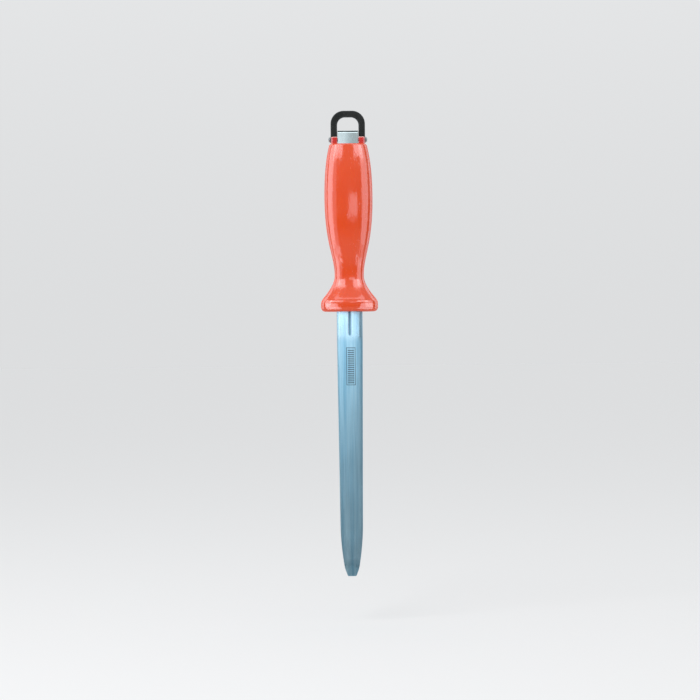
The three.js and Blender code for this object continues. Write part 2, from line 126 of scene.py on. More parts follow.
# Block, bail, pin
BLOCK_CHAMFER = (2.2 * MM, 1.6 * MM)  # depth, height
BLOCK_EDGE = 0.35 * MM
BAIL_ARM_WIDTH = 5 * MM
BAIL_ARCH = 5 * MM
BAIL_OUTER_CORNER = 10 * MM
BAIL_INNER_CORNER = 6 * MM
BAIL_EDGE = 0.9 * MM
BAIL_WORN_EDGE = 2.1 * MM  # the arch's inner edges, rounded where hooks bear
PIN_RADIUS = 1.3 * MM
PIN_HOLE_RADIUS = PIN_RADIUS + 0.12 * MM
PIN_HEAD_RADIUS = (pin_high[2] - pin_low[2]) / 2
PIN_HEAD_HEIGHT = 0.9 * MM

# ---------------------------------------------------------------- camera, first of all

LENS = 120
SENSOR = 36
VIEW_HEIGHT = 2.646 * ROD_LENGTH  # what the square frame takes in at the steel
VIEW_BELOW_GUARD = 29.6 * MM
LEAN = math.radians(0.58)  # of the steel in the frame


def make_camera():
    distance = VIEW_HEIGHT * LENS / SENSOR
    camera = bpy.data.objects.new("camera", bpy.data.cameras.new("camera"))
    camera.data.lens = LENS
    camera.data.sensor_width = SENSOR
    camera.location = (0, -distance, GUARD_FACE - VIEW_BELOW_GUARD)
    camera.rotation_euler = (math.radians(90), LEAN, 0)
    bpy.context.scene.collection.objects.link(camera)
    bpy.context.scene.camera = camera


make_camera()

# ---------------------------------------------------------------- mesh helpers


def mix(a, b, share):
    return a + (b - a) * share


def smooth_step(x):
    x = min(max(x, 0), 1)
    return x * x * (3 - 2 * x)


def unit_superellipse(angle, power):
    """The point at that angle on a superellipse of half width and half depth 1."""
    c, s = math.cos(angle), math.sin(angle)
    x = math.copysign(abs(c) ** (2 / power), c)
    y = math.copysign(abs(s) ** (2 / power), s)
    return x, y


def turn_angles(steps):
    """Even angles through a quarter turn, both ends included."""
    return [math.pi / 2 * i / steps for i in range(steps + 1)]


def bezier(points, steps):
    """Points along a quadratic or cubic Bezier curve, both ends included."""
    curve = []
    for i in range(steps + 1):
        row = [Vector(p) for p in points]
        while len(row) > 1:
            row = [a.lerp(b, i / steps) for a, b in zip(row, row[1:])]
        curve.append(row[0])
    return curve


def loft(rings):
    """A closed bmesh through rings of points, all of one length, capped by a face at each end."""
    bm = bmesh.new()
    rows = [[bm.verts.new(p) for p in ring] for ring in rings]
    count = len(rows[0])
    for lower, upper in zip(rows, rows[1:]):
        for i in range(count):
            j = (i + 1) % count
            bm.faces.new((lower[i], lower[j], upper[j], upper[i]))
    bm.faces.new(rows[0][::-1])
    bm.faces.new(rows[-1])
    bmesh.ops.recalc_face_normals(bm, faces=bm.faces)
    return bm


def lathe_x(profile, segments):
    """A closed bmesh of (x, radius) points turned about the pin's axis, which starts and ends on it."""
    bm = bmesh.new()
    first, *middle, last = profile
    start = bm.verts.new((first[0], 0, PIN_LEVEL))
    end = bm.verts.new((last[0], 0, PIN_LEVEL))
    rows = []
    for x, radius in middle:
        row = []
        for i in range(segments):
            angle = 2 * math.pi * i / segments
            row.append(bm.verts.new((x, radius * math.cos(angle), PIN_LEVEL + radius * math.sin(angle))))
        rows.append(row)
    for i in range(segments):
        j = (i + 1) % segments
        bm.faces.new((start, rows[0][j], rows[0][i]))
        bm.faces.new((end, rows[-1][i], rows[-1][j]))
        for lower, upper in zip(rows, rows[1:]):
            bm.faces.new((lower[i], lower[j], upper[j], upper[i]))
    bmesh.ops.recalc_face_normals(bm, faces=bm.faces)
    return bm


def rounded_box(low, high, edge, steps):
    """A closed bmesh box between two corners, with every edge rounded."""
    bm = bmesh.new()
    bmesh.ops.create_cube(bm, size=1)
    for v in bm.verts:
        v.co = [mix(low[k], high[k], v.co[k] + 0.5) for k in range(3)]
    round_edges(bm, edge, steps)
    return bm


def round_edges(bm, edge, steps):
    bmesh.ops.bevel(
        bm,
        geom=bm.edges[:],
        offset=edge,
        offset_type="OFFSET",
        segments=steps,
        profile=0.5,
        affect="EDGES",
        clamp_overlap=True,
    )


def add_object(name, bm):
    mesh = bpy.data.meshes.new(name)
    bm.to_mesh(mesh)
    bm.free()
    made = bpy.data.objects.new(name, mesh)
    bpy.context.scene.collection.objects.link(made)
    return made


def settle(piece):
    """Turns a piece's modifiers into its mesh."""
    bpy.context.view_layer.update()
    evaluated = piece.evaluated_get(bpy.context.evaluated_depsgraph_get())
    old = piece.data
    piece.data = bpy.data.meshes.new_from_object(evaluated)
    piece.data.name = old.name
    piece.modifiers.clear()
    bpy.data.meshes.remove(old)


def combine(piece, bm, operation):
    """Cuts a tool from a piece (DIFFERENCE) or joins it on (UNION)."""
    tool = add_object("tool", bm)
    boolean = piece.modifiers.new("combine", "BOOLEAN")
    boolean.operation = operation
    boolean.solver = "MANIFOLD"
    boolean.object = tool
    settle(piece)
    old = tool.data
    bpy.data.objects.remove(tool)
    bpy.data.meshes.remove(old)


def shade(piece, sharp_degrees):
    """Smooth shading that stops at edges sharper than this, with flat faces kept flat."""
    piece.data.shade_smooth()
    piece.data.set_sharp_from_angle(angle=math.radians(sharp_degrees))
    normals = piece.modifiers.new("flat_faces_stay_flat", "WEIGHTED_NORMAL")
    normals.keep_sharp = True
    normals.weight = 90


def finish_piece(piece, body, material, slot, *nodes):
    """Gives a made piece its material, the body that it moves with and the CAD nodes it stands for."""
    piece.data.materials.clear()
    piece.data.materials.append(material)
    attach(piece, body)
    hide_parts(*nodes)


# ---------------------------------------------------------------- node helpers


def node(tree, kind, x=0, **settings):
    made = tree.nodes.new(kind)
    made.location.x = x
    for name, value in settings.items():
        setattr(made, name, value)
    return made


def math_node(tree, operation, a, b=None, clamp=False):
    """A Math node; a and b are numbers or sockets."""
    made = node(tree, "ShaderNodeMath", operation=operation, use_clamp=clamp)
    for socket, value in zip(made.inputs, (a, b)):
        if value is None:
            continue
        if isinstance(value, bpy.types.NodeSocket):
            tree.links.new(value, socket)
        else:
            socket.default_value = value
    return made.outputs[0]


def mix_colour(tree, factor, a, b):
    """A Mix node on colours; each of factor, a and b is a value or a socket."""
    made = node(tree, "ShaderNodeMix", data_type="RGBA")
    for index, value in ((0, factor), (6, a), (7, b)):
        if isinstance(value, bpy.types.NodeSocket):
            tree.links.new(value, made.inputs[index])
        elif index == 0:
            made.inputs[index].default_value = value
        else:
            made.inputs[index].default_value = (*value, 1)
    return made.outputs[2]


def map_range(tree, value, from_low, from_high, to_low, to_high, smooth=False):
    made = node(tree, "ShaderNodeMapRange")
    if smooth:
        made.interpolation_type = "SMOOTHSTEP"
    tree.links.new(value, made.inputs["Value"])
    made.inputs["From Min"].default_value = from_low
    made.inputs["From Max"].default_value = from_high
    made.inputs["To Min"].default_value = to_low
    made.inputs["To Max"].default_value = to_high
    return made.outputs["Result"]


def split(tree, vector):
    """The X, Y and Z sockets of a vector."""
    made = node(tree, "ShaderNodeSeparateXYZ")
    tree.links.new(vector, made.inputs[0])
    return made.outputs


def new_group(name, inputs, outputs):
    """An empty node group with its sockets, and its input and output nodes."""
    tree = bpy.data.node_groups.new(name, "ShaderNodeTree")
    for label, kind, default in inputs:
        socket = tree.interface.new_socket(label, in_out="INPUT", socket_type=kind)
        if default is not None:
            socket.default_value = default
    for label, kind in outputs:
        tree.interface.new_socket(label, in_out="OUTPUT", socket_type=kind)
    return tree, node(tree, "NodeGroupInput", -900), node(tree, "NodeGroupOutput", 700)


def use_group(tree, group, **values):
    """Places a group in a material, with its inputs set by name (spaces as underscores)."""
    made = node(tree, "ShaderNodeGroup")
    made.node_tree = group
    for label, value in values.items():
        socket = made.inputs[label.replace("_", " ")]
        if isinstance(value, bpy.types.NodeSocket):
            tree.links.new(value, socket)
        else:
            socket.default_value = value
    return made


FLOAT = "NodeSocketFloat"
VECTOR = "NodeSocketVector"


def stretched_noise(tree, vector, scale, stretch, detail=4.0, roughness=0.6):
    """Noise whose grain is drawn out by dividing its coordinates, stretch being (x, y, z)."""
    mapping = node(tree, "ShaderNodeMapping")
    mapping.inputs["Scale"].default_value = stretch
    tree.links.new(vector, mapping.inputs["Vector"])
    noise = node(tree, "ShaderNodeTexNoise")
    noise.inputs["Detail"].default_value = detail
    noise.inputs["Roughness"].default_value = roughness
    tree.links.new(mapping.outputs[0], noise.inputs["Vector"])
    if isinstance(scale, bpy.types.NodeSocket):
        tree.links.new(scale, noise.inputs["Scale"])
    else:
        noise.inputs["Scale"].default_value = scale
    return noise.outputs[0]


# ---------------------------------------------------------------- effects that materials share


def make_edge_wear():
    """Where edges stick out, broken up by noise: how far the rounded normal leans from the true one."""
    tree, inputs, outputs = new_group(
        "edge_wear",
        [("Position", VECTOR, None), ("Width", FLOAT, 0.4 * MM), ("Amount", FLOAT, 1.0)],
        [("Mask", FLOAT)],
    )
    bevel = node(tree, "ShaderNodeBevel", samples=6)
    tree.links.new(inputs.outputs["Width"], bevel.inputs["Radius"])
    geometry = node(tree, "ShaderNodeNewGeometry")
    dot = node(tree, "ShaderNodeVectorMath", operation="DOT_PRODUCT")
    tree.links.new(bevel.outputs[0], dot.inputs[0])
    tree.links.new(geometry.outputs["Normal"], dot.inputs[1])
    lean = math_node(tree, "SUBTRACT", 1.0, dot.outputs["Value"])
    broken = stretched_noise(tree, inputs.outputs["Position"], 900, (1, 1, 1), detail=6)
    raised = math_node(tree, "MULTIPLY", lean, map_range(tree, broken, 0.35, 0.65, 2.0, 12.0))
    mask = math_node(tree, "MULTIPLY", raised, inputs.outputs["Amount"], clamp=True)
    tree.links.new(mask, outputs.inputs["Mask"])
    return tree


def make_scratches():
    """Fine hairline scratches in two crossing directions, patchy over the surface."""
    tree, inputs, outputs = new_group(
        "hairline_scratches",
        [("Position", VECTOR, None), ("Scale", FLOAT, 900.0), ("Amount", FLOAT, 1.0)],
        [("Mask", FLOAT)],
    )
    position = inputs.outputs["Position"]
    layers = []
    for turn, stretch in ((0.35, (1, 1, 0.045)), (-0.9, (0.9, 1.1, 0.06))):
        turned = node(tree, "ShaderNodeVectorRotate", rotation_type="EULER_XYZ")
        turned.inputs["Rotation"].default_value = (turn, turn * 0.6, turn * 2)
        tree.links.new(position, turned.inputs["Vector"])
        lines = stretched_noise(tree, turned.outputs[0], inputs.outputs["Scale"], stretch, 2.0, 0.5)
        layers.append(map_range(tree, lines, 0.645, 0.70, 0.0, 1.0))
    patches = stretched_noise(tree, position, 60, (1, 1, 1), detail=2)
    both = math_node(tree, "MAXIMUM", *layers)
    patchy = math_node(tree, "MULTIPLY", both, map_range(tree, patches, 0.42, 0.62, 0.15, 1.0))
    mask = math_node(tree, "MULTIPLY", patchy, inputs.outputs["Amount"], clamp=True)
    tree.links.new(mask, outputs.inputs["Mask"])
    return tree


def make_handling():
    """Smudges from hands, as soft patches, and specks of dust."""
    tree, inputs, outputs = new_group(
        "handling_marks",
        [("Position", VECTOR, None), ("Speck Scale", FLOAT, 2600.0)],
        [("Smudge", FLOAT), ("Speck", FLOAT)],
    )
    position = inputs.outputs["Position"]
    patches = stretched_noise(tree, position, 75, (1, 1, 0.6), detail=5, roughness=0.65)
    tree.links.new(map_range(tree, patches, 0.40, 0.68, 0.0, 1.0, smooth=True), outputs.inputs["Smudge"])
    specks = stretched_noise(tree, position, inputs.outputs["Speck Scale"], (1, 1, 1), 1.0, 0.5)
    tree.links.new(map_range(tree, specks, 0.74, 0.78, 0.0, 1.0), outputs.inputs["Speck"])
    return tree


def make_moulded_skin():
    """The faint ripple of a moulded or painted gloss surface, as a height."""
    tree, inputs, outputs = new_group(
        "rippled_skin",
        [("Position", VECTOR, None), ("Scale", FLOAT, 420.0)],
        [("Height", FLOAT)],
    )
    position, scale = inputs.outputs["Position"], inputs.outputs["Scale"]
    ripple = stretched_noise(tree, position, scale, (1, 1, 0.7), 2.0, 0.45)
    tree.links.new(ripple, outputs.inputs["Height"])
    return tree


def make_drawn_grain():
    """Fine lines drawn along the steel's length, as a value and a height."""
    tree, inputs, outputs = new_group(
        "drawn_grain",
        [("Position", VECTOR, None), ("Scale", FLOAT, 2400.0)],
        [("Grain", FLOAT), ("Bands", FLOAT)],
    )
    position = inputs.outputs["Position"]
    grain = stretched_noise(tree, position, inputs.outputs["Scale"], (1, 1, 0.012), 5.0, 0.65)
    tree.links.new(grain, outputs.inputs["Grain"])
    bands = stretched_noise(tree, position, 330, (1, 1, 0.03), 3.0, 0.55)
    tree.links.new(bands, outputs.inputs["Bands"])
    return tree


EDGE_WEAR = make_edge_wear()
SCRATCHES = make_scratches()
HANDLING = make_handling()
RIPPLED_SKIN = make_moulded_skin()
DRAWN_GRAIN = make_drawn_grain()

# ---------------------------------------------------------------- materials


def new_material(name):
    """A material, its tree, its Principled shader and its object coordinates."""
    material = bpy.data.materials.new(name)
    material.use_nodes = True
    tree = material.node_tree
    shader = tree.nodes["Principled BSDF"]
    position = node(tree, "ShaderNodeTexCoord", -1400).outputs["Object"]
    return material, tree, shader, position


def surface_marks(tree, position, hairline_scale, worn_width, worn_amount):
    """Masks of the smudges, specks, hairlines and worn edges that a piece shows."""
    handling = use_group(tree, HANDLING, Position=position)
    scratches = use_group(tree, SCRATCHES, Position=position, Scale=hairline_scale)
    wear = use_group(tree, EDGE_WEAR, Position=position, Width=worn_width, Amount=worn_amount)
    return {
        "smudge": handling.outputs["Smudge"],
        "speck": handling.outputs["Speck"],
        "hairline": scratches.outputs["Mask"],
        "worn": wear.outputs["Mask"],
    }


def roughen(tree, rough, mask, amount):
    """A roughness with a share of a mask added."""
    return math_node(tree, "ADD", rough, math_node(tree, "MULTIPLY", mask, amount))


def add_bump(tree, shader, height, distance, below=None):
    """A Bump node of a height in metres, over another one if below is given."""
    bump = node(tree, "ShaderNodeBump")
    bump.inputs["Strength"].default_value = 1.0
    bump.inputs["Distance"].default_value = distance
    tree.links.new(height, bump.inputs["Height"])
    if below is not None:
        tree.links.new(below, bump.inputs["Normal"])
    tree.links.new(bump.outputs[0], shader.inputs["Normal"])
    return bump.outputs[0]


def add_dents(tree, shader, mask, depth, below=None):
    """Sinks the masked places to a depth in metres."""
    add_bump(tree, shader, math_node(tree, "MULTIPLY", mask, -1.0), depth, below)


ORANGE_RED = (0.80, 0.070, 0.004)
# DEEP_RED is both the plastic's random deeper tone and the ears' painted shade
DEEP_RED = (0.60, 0.020, 0.016)
EAR_TOP_HIGHLIGHT_RED = (0.88, 0.58, 0.52)  # a painted highlight along the ears' top edges, where a light from above catches them
RUBBED_RED = (0.86, 0.16, 0.08)
RED_DUST = (0.8, 0.5, 0.42)


def make_handle_red():
    """Glossy moulded plastic: faint ripple, hairlines, smudges and rubbed edges; painted shade makes its
    ears deeper red, with a painted highlight along their tops.
    """
    material, tree, shader, position = new_material("gloss_red_plastic")
    marks = surface_marks(tree, position, 1100.0, 0.5 * MM, 0.5)
    clouds = stretched_noise(tree, position, 55, (1, 1, 0.5), detail=3)
    colour = mix_colour(tree, map_range(tree, clouds, 0.3, 0.7, 0.0, 0.12), ORANGE_RED, DEEP_RED)
    height = split(tree, position)["Z"]
    # painted shade: the ears are coloured deeper red as though they stood in shadow
    ears = map_range(tree, height, BUTT - 0.5 * MM, BUTT + 1.2 * MM, 0.0, 1.0)
    colour = mix_colour(tree, ears, colour, DEEP_RED)
    # painted highlight: a pale line along the ears' top edges
    ear_top_highlight = map_range(tree, height, EAR_TOP - 0.9 * MM, EAR_TOP - 0.2 * MM, 0.0, 0.75)
    colour = mix_colour(tree, ear_top_highlight, colour, EAR_TOP_HIGHLIGHT_RED)
    colour = mix_colour(tree, marks["worn"], colour, RUBBED_RED)
    dusty = math_node(tree, "MULTIPLY", marks["speck"], 0.25)
    colour = mix_colour(tree, dusty, colour, RED_DUST)
    tree.links.new(colour, shader.inputs["Base Color"])

    rough = map_range(tree, marks["smudge"], 0.0, 1.0, 0.09, 0.17)
    rough = roughen(tree, rough, marks["hairline"], 0.25)
    rough = roughen(tree, rough, marks["worn"], 0.2)
    grazing = node(tree, "ShaderNodeLayerWeight").outputs["Facing"]
    rough = math_node(tree, "ADD", rough, map_range(tree, grazing, 0.5, 0.8, 0.0, 0.55))
    tree.links.new(rough, shader.inputs["Roughness"])

    shader.inputs["IOR"].default_value = 1.52
    shader.inputs["Specular IOR Level"].default_value = 1.0
    shader.inputs["Subsurface Weight"].default_value = 0.12
    shader.inputs["Subsurface Scale"].default_value = 0.0015
    shader.inputs["Subsurface Radius"].default_value = (1.0, 0.25, 0.12)
    skin = use_group(tree, RIPPLED_SKIN, Position=position, Scale=260.0)
    ripple = add_bump(tree, shader, skin.outputs["Height"], 0.12 * MM)
    add_dents(tree, shader, marks["hairline"], 0.012 * MM, below=ripple)
    return material


STEEL_BLUE = (0.22, 0.46, 0.60)
STEEL_PALE = (0.46, 0.70, 0.80)
STEEL_DARK = (0.13, 0.22, 0.28)
STEEL_RUBBED = (0.80, 0.85, 0.88)
# painted sheen: the collar's paler colour stands in for its brighter reflections
COLLAR_PALE = (0.62, 0.74, 0.80)
# painted shade for the floor of the collar's groove
GROOVE_SHADE_BLUE = (0.12, 0.24, 0.33)
ETCHED_DARK = (0.06, 0.09, 0.11)

# The etched quality mark: a plain tablet of fine rules, on the front of the rod
MARK_TOP = GUARD_FACE - 27.6 * MM
MARK_LENGTH = 29 * MM
MARK_WIDTH = 7 * MM
MARK_BORDER = 0.45 * MM
MARK_OFFSET = 0.6 * MM
MARK_RULE_PITCH = 1.45 * MM
MARK_SOFTNESS = 0.08 * MM


def band_mask(tree, value, low, high, soft):
    """1 between two levels and 0 outside them, with soft ends."""
    rise = map_range(tree, value, low - soft, low + soft, 0.0, 1.0)
    fall = map_range(tree, value, high - soft, high + soft, 1.0, 0.0)
    return math_node(tree, "MULTIPLY", rise, fall)


def etched_mark(tree, position):
    """A mask of the etched tablet: a border with rules across it, on the front face only."""
    x, y, z = split(tree, position)
    middle = MARK_TOP - MARK_LENGTH / 2

    def tablet(inset):
        half = MARK_WIDTH / 2 - inset
        across = band_mask(tree, x, MARK_OFFSET - half, MARK_OFFSET + half, MARK_SOFTNESS)
        reach = MARK_LENGTH / 2 - inset
        along = band_mask(tree, z, middle - reach, middle + reach, MARK_SOFTNESS)
        return math_node(tree, "MULTIPLY", across, along)

    border = math_node(tree, "SUBTRACT", tablet(0), tablet(MARK_BORDER))
    phase = math_node(tree, "FRACT", math_node(tree, "DIVIDE", z, MARK_RULE_PITCH))
    rules = band_mask(tree, phase, 0.25, 0.75, 0.05)
    inner = math_node(tree, "MULTIPLY", tablet(2.4 * MARK_BORDER), rules)
    both = math_node(tree, "MAXIMUM", border, inner)
    front = math_node(tree, "LESS_THAN", y, 0.0)
    return math_node(tree, "MULTIPLY", both, front)


def groove_floor(tree, x, z):
    """A mask of the floor of the collar's groove, on both faces."""
    below = math_node(tree, "MINIMUM", math_node(tree, "SUBTRACT", z, GROOVE_CENTRE), 0.0)
    across = math_node(tree, "POWER", x, 2.0)
    along = math_node(tree, "POWER", below, 2.0)
    away = math_node(tree, "SQRT", math_node(tree, "ADD", across, along))
    edge = GROOVE_WIDTH / 2 - GROOVE_SLOPE
    return map_range(tree, away, edge - GROOVE_SLOPE, edge + GROOVE_SLOPE, 1.0, 0.0)


def make_rod_steel():
    """Bluish ground steel: drawn grain, pale worn ridges, a polished collar with painted sheen, its groove
    with painted shade, and the mark.
    """
    material, tree, shader, position = new_material("ridged_steel")
    shader.inputs["Metallic"].default_value = 1.0
    grain = use_group(tree, DRAWN_GRAIN, Position=position)
    marks = surface_marks(tree, position, 1500.0, 0.35 * MM, 0.6)
    place = split(tree, position)
    x, z = place["X"], place["Z"]
    above_bevel = map_range(tree, z, BEVEL_START, BEVEL_START + RIDGE_RUNOUT, 0.0, 1.0)
    below_collar = map_range(tree, z, COLLAR_END - RIDGE_RUNOUT, COLLAR_END, 1.0, 0.0)
    cut_zone = math_node(tree, "MULTIPLY", above_bevel, below_collar)
    mark = etched_mark(tree, position)
    groove = groove_floor(tree, x, z)

    bands = map_range(tree, grain.outputs["Bands"], 0.3, 0.7, 0.0, 1.0)
    colour = mix_colour(tree, bands, STEEL_BLUE, STEEL_PALE)
    # painted sheen: the smooth collar is coloured paler than the ridged part; its real smoothness is in
    # the roughness below
    polished = math_node(tree, "MULTIPLY", math_node(tree, "SUBTRACT", 1.0, below_collar), 0.3)
    colour = mix_colour(tree, polished, colour, COLLAR_PALE)
    streaks = map_range(tree, grain.outputs["Grain"], 0.35, 0.7, 0.0, 0.35)
    colour = mix_colour(tree, streaks, colour, STEEL_DARK)
    # painted shade: the groove's floor is coloured darker
    colour = mix_colour(tree, groove, colour, GROOVE_SHADE_BLUE)
    colour = mix_colour(tree, marks["worn"], colour, STEEL_RUBBED)
    colour = mix_colour(tree, math_node(tree, "MULTIPLY", mark, 0.85), colour, ETCHED_DARK)
    tree.links.new(colour, shader.inputs["Base Color"])

    rough = map_range(tree, grain.outputs["Grain"], 0.3, 0.7, 0.20, 0.34)
    rough = roughen(tree, rough, cut_zone, 0.10)
    rough = roughen(tree, rough, marks["smudge"], 0.05)
    rough = roughen(tree, rough, marks["hairline"], 0.12)
    rough = roughen(tree, rough, mark, 0.22)
    rough = roughen(tree, rough, groove, 0.20)
    tree.links.new(rough, shader.inputs["Roughness"])

    fine = add_bump(tree, shader, grain.outputs["Grain"], 0.02 * MM)
    add_dents(tree, shader, mark, 0.03 * MM, below=fine)
    return material


CHROME = (0.72, 0.84, 0.83)
CHROME_PALE = (0.80, 0.89, 0.87)
CHROME_RUBBED = (0.95, 0.95, 0.94)


def make_block_chrome():
    """Bright plated block, with smudges and worn edges."""
    material, tree, shader, position = new_material("bright_chrome")
    shader.inputs["Metallic"].default_value = 1.0
    marks = surface_marks(tree, position, 1300.0, 0.35 * MM, 0.8)
    grain = use_group(tree, DRAWN_GRAIN, Position=position)
    tint = map_range(tree, grain.outputs["Bands"], 0.3, 0.7, 0.0, 1.0)
    colour = mix_colour(tree, tint, CHROME, CHROME_PALE)
    colour = mix_colour(tree, marks["worn"], colour, CHROME_RUBBED)
    tree.links.new(colour, shader.inputs["Base Color"])
    rough = map_range(tree, marks["smudge"], 0.0, 1.0, 0.12, 0.24)
    rough = roughen(tree, rough, marks["hairline"], 0.2)
    rough = roughen(tree, rough, marks["worn"], 0.1)
    tree.links.new(rough, shader.inputs["Roughness"])
    fine = add_bump(tree, shader, grain.outputs["Grain"], 0.006 * MM)
    add_dents(tree, shader, marks["hairline"], 0.01 * MM, below=fine)
    return material


PAINT_BLACK = (0.009, 0.011, 0.010)
PAINT_SMUDGED = (0.016, 0.018, 0.017)
PAINT_RUBBED = (0.06, 0.066, 0.063)
PAINT_DUST = (0.25, 0.25, 0.24)
BARE_METAL = (0.42, 0.43, 0.43)


def make_bail_black():
    """Glossy black paint over cast metal, rubbed through on its edges and where hooks bear."""
    material, tree, shader, position = new_material("black_paint")
    marks = surface_marks(tree, position, 1000.0, 0.8 * MM, 0.35)
    bare = map_range(tree, marks["worn"], 0.45, 0.75, 0.0, 1.0)
    colour = mix_colour(tree, marks["smudge"], PAINT_BLACK, PAINT_SMUDGED)
    colour = mix_colour(tree, marks["worn"], colour, PAINT_RUBBED)
    colour = mix_colour(tree, bare, colour, BARE_METAL)
    dusty = math_node(tree, "MULTIPLY", marks["speck"], 0.6)
    colour = mix_colour(tree, dusty, colour, PAINT_DUST)
    tree.links.new(colour, shader.inputs["Base Color"])
    tree.links.new(bare, shader.inputs["Metallic"])
    rough = map_range(tree, marks["smudge"], 0.0, 1.0, 0.22, 0.36)
    rough = roughen(tree, rough, marks["hairline"], 0.2)
    tree.links.new(rough, shader.inputs["Roughness"])
    skin = use_group(tree, RIPPLED_SKIN, Position=position, Scale=700.0)
    ripple = add_bump(tree, shader, skin.outputs["Height"], 0.10 * MM)
    add_dents(tree, shader, bare, 0.05 * MM, below=ripple)
    return material


ZINC = (0.50, 0.52, 0.53)
ZINC_SMUDGED = (0.62, 0.63, 0.62)
ZINC_RUBBED = (0.80, 0.80, 0.79)


def make_plain_steel():
    """Zinc-bright steel of the pin, washers and inner plates."""
    material, tree, shader, position = new_material("plain_steel")
    shader.inputs["Metallic"].default_value = 1.0
    marks = surface_marks(tree, position, 1400.0, 0.25 * MM, 0.8)
    colour = mix_colour(tree, marks["smudge"], ZINC, ZINC_SMUDGED)
    colour = mix_colour(tree, marks["worn"], colour, ZINC_RUBBED)
    tree.links.new(colour, shader.inputs["Base Color"])
    rough = map_range(tree, marks["smudge"], 0.0, 1.0, 0.28, 0.42)
    rough = roughen(tree, rough, marks["hairline"], 0.15)
    tree.links.new(rough, shader.inputs["Roughness"])
    add_dents(tree, shader, marks["hairline"], 0.01 * MM)
    return material


# ---------------------------------------------------------------- handle shells


def key_section(size, z):
    return Vector((size[0] / 2, size[1] / 2, z))


def swept_to(start, end, first, second, steps):
    """Sections from one key section to the next; each control is a share in size and a share in height."""
    controls = []
    for size, drop in (first, second):
        x, y = mix(start.x, end.x, size), mix(start.y, end.y, size)
        controls.append(Vector((x, y, mix(start.z, end.z, drop))))
    return bezier([start, *controls, end], steps)


def handle_sections():
    """The handle's sections from the butt down, as (half width, half depth, z)."""
    butt = key_section(BUTT_SIZE, BUTT - BUTT_EDGE)
    belly = key_section(BELLY_SIZE, BUTT - BELLY_DROP)
    neck = key_section(NECK_SIZE, GUARD_FACE + NECK_RISE)
    rim = key_section(RIM_SIZE, GUARD_FACE + RIM_RISE)
    guard = key_section(GUARD_SIZE, GUARD_FACE + GUARD_EDGE_RISE)
    sections = []
    for turn in turn_angles(7)[:-1]:
        inset = BUTT_EDGE * (1 - math.sin(turn))
        z = BUTT - BUTT_EDGE * (1 - math.cos(turn))
        sections.append(Vector((butt.x - inset, butt.y - inset, z)))
    sections += swept_to(butt, belly, (0.56, 0.2), (1, 0.52), 26)[:-1]
    sections += swept_to(belly, neck, (0, 0.6), (1, 0.733), 34)[:-1]
    sections += swept_to(neck, rim, (0, 0.325), (0.528, 0.71), 22)[:-1]
    sections += swept_to(rim, guard, (0.86, 0.40), (1, 0.50), 10)[:-1]
    for turn in turn_angles(14):
        across, up = unit_superellipse(turn, GUARD_EDGE_POWER)
        inset = GUARD_EDGE_INSET * (1 - across)
        z = GUARD_FACE + GUARD_EDGE_RISE * (1 - up)
        sections.append(Vector((guard.x - inset, guard.y - inset, z)))
    return sections


def half_ring(section, side, steps=96):
    """The outline of one shell at one level: round its outside, with rounded edges at the parting."""
    parting = GAP / 2
    lift = parting + SEAM_EDGE
    start = math.asin((lift / section.y) ** (HANDLE_POWER / 2))
    edge_x = section.x * math.cos(start) ** (2 / HANDLE_POWER)
    ring = []
    for turn in turn_angles(4)[:-1]:
        x = edge_x - SEAM_EDGE * (1 - math.sin(turn))
        ring.append((x, lift - SEAM_EDGE * math.cos(turn)))
    for i in range(steps + 1):
        angle = mix(start, math.pi - start, i / steps)
        ux, uy = unit_superellipse(angle, HANDLE_POWER)
        ring.append((section.x * ux, section.y * uy))
    for turn in reversed(turn_angles(4)[:-1]):
        x = edge_x - SEAM_EDGE * (1 - math.sin(turn))
        ring.append((-x, lift - SEAM_EDGE * math.cos(turn)))
    return [Vector((x, side * y, section.z)) for x, y in ring]


def full_ring(half_x, half_y, z, power, steps):
    ring = []
    for i in range(steps):
        ux, uy = unit_superellipse(2 * math.pi * i / steps, power)
        ring.append(Vector((half_x * ux, half_y * uy, z)))
    return ring


def cavity_tool():
    top, bottom = BUTT - BUTT_WALL, GUARD_FACE + GUARD_FLOOR
    rings = []
    for section in handle_sections():
        if bottom < section.z < top:
            rings.append(full_ring(section.x - WALL, section.y - WALL, section.z, HANDLE_POWER, 72))
    highest = [Vector((p.x, p.y, top)) for p in rings[0]]
    lowest = [Vector((p.x, p.y, bottom)) for p in rings[-1]]
    return loft([highest, *rings, lowest])


def flared_tool(outline, levels):
    """A hole's cutter: an outline that grows by an amount at each of its levels."""
    return loft([[Vector((p.x, p.y, z)) for p in outline(grow)] for z, grow in levels])


def block_hole_tool():
    half_x, half_y = block_high[0] + GAP, block_high[1] + GAP

    def outline(grow):
        corners = ((1, 1), (-1, 1), (-1, -1), (1, -1))
        return [Vector((sx * (half_x + grow), sy * (half_y + grow), 0)) for sx, sy in corners]

    mouth = BUTT + MM
    levels = [(BUTT - 2 * BUTT_WALL, 0), (BUTT - HOLE_LEAD, 0), (BUTT, HOLE_LEAD), (mouth, 2 * HOLE_LEAD)]
    return flared_tool(outline, levels)


def rod_hole_tool():
    half_x, half_y = rod_high[0] + GAP, rod_high[1] + GAP

    def outline(grow):
        return full_ring(half_x + grow, half_y + grow, 0, ROD_POWER, 96)

    mouth, inside = GUARD_FACE - MM, GUARD_FACE + 2 * GUARD_FLOOR
    levels = [(mouth, 2 * HOLE_LEAD), (GUARD_FACE, HOLE_LEAD), (GUARD_FACE + HOLE_LEAD, 0), (inside, 0)]
    return flared_tool(outline, levels)


